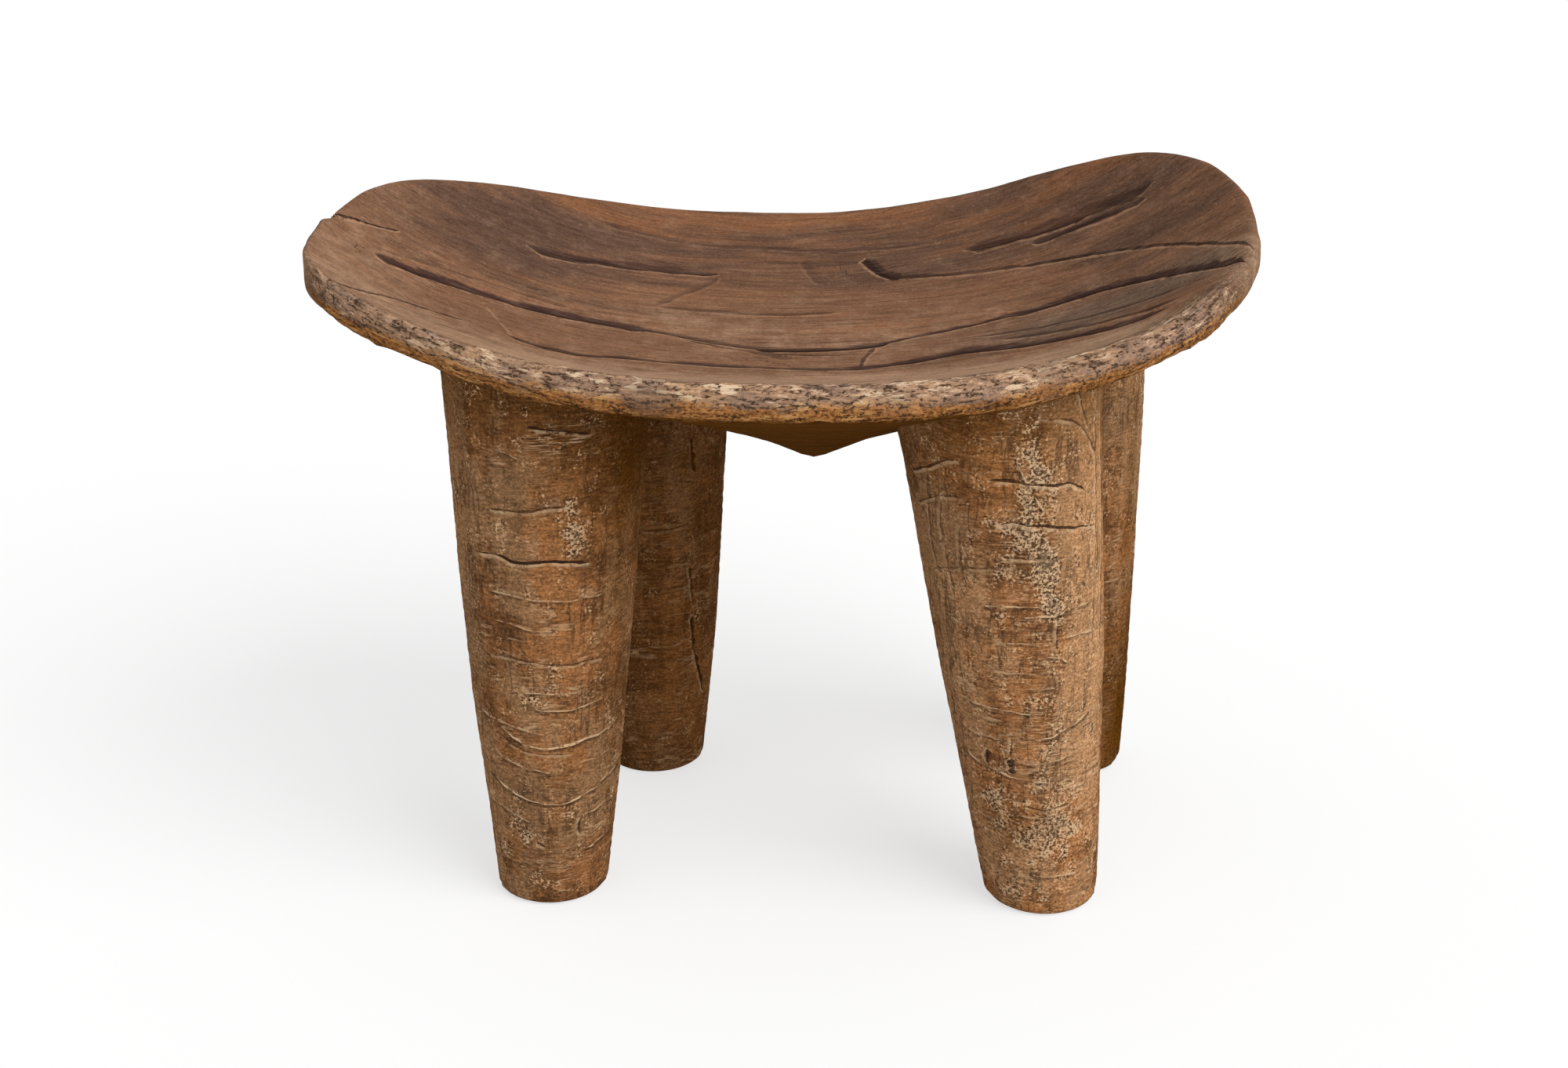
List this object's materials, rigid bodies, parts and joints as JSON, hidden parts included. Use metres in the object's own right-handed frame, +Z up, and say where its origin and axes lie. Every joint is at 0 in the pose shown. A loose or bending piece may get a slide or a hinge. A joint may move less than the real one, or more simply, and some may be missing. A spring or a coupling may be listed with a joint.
{
  "type": "carved stool table",
  "caption": "Low carved wooden stool table with a dished oval saddle seat over a blunt conical underside, on stout tapering round legs.",
  "frame": {"origin": "on the floor, under the middle of the seat's outline", "axes": "+X along the seat to its right end, +Y across the seat to its rear edge, +Z up"},
  "size_m": [0.5, 0.323, 0.3727],
  "materials": {
    "seat_wood": "worn dark brown, dry, with open checks along the grain",
    "leg_wood": "worn warm brown, dry, with fine checks round the leg"
  },
  "bodies": {
    "root": {"seat": "seat_wood", "leg_front_left": "leg_wood", "leg_front_right": "leg_wood", "leg_rear_left": "leg_wood", "leg_rear_right": "leg_wood"}
  },
  "joints": []
}
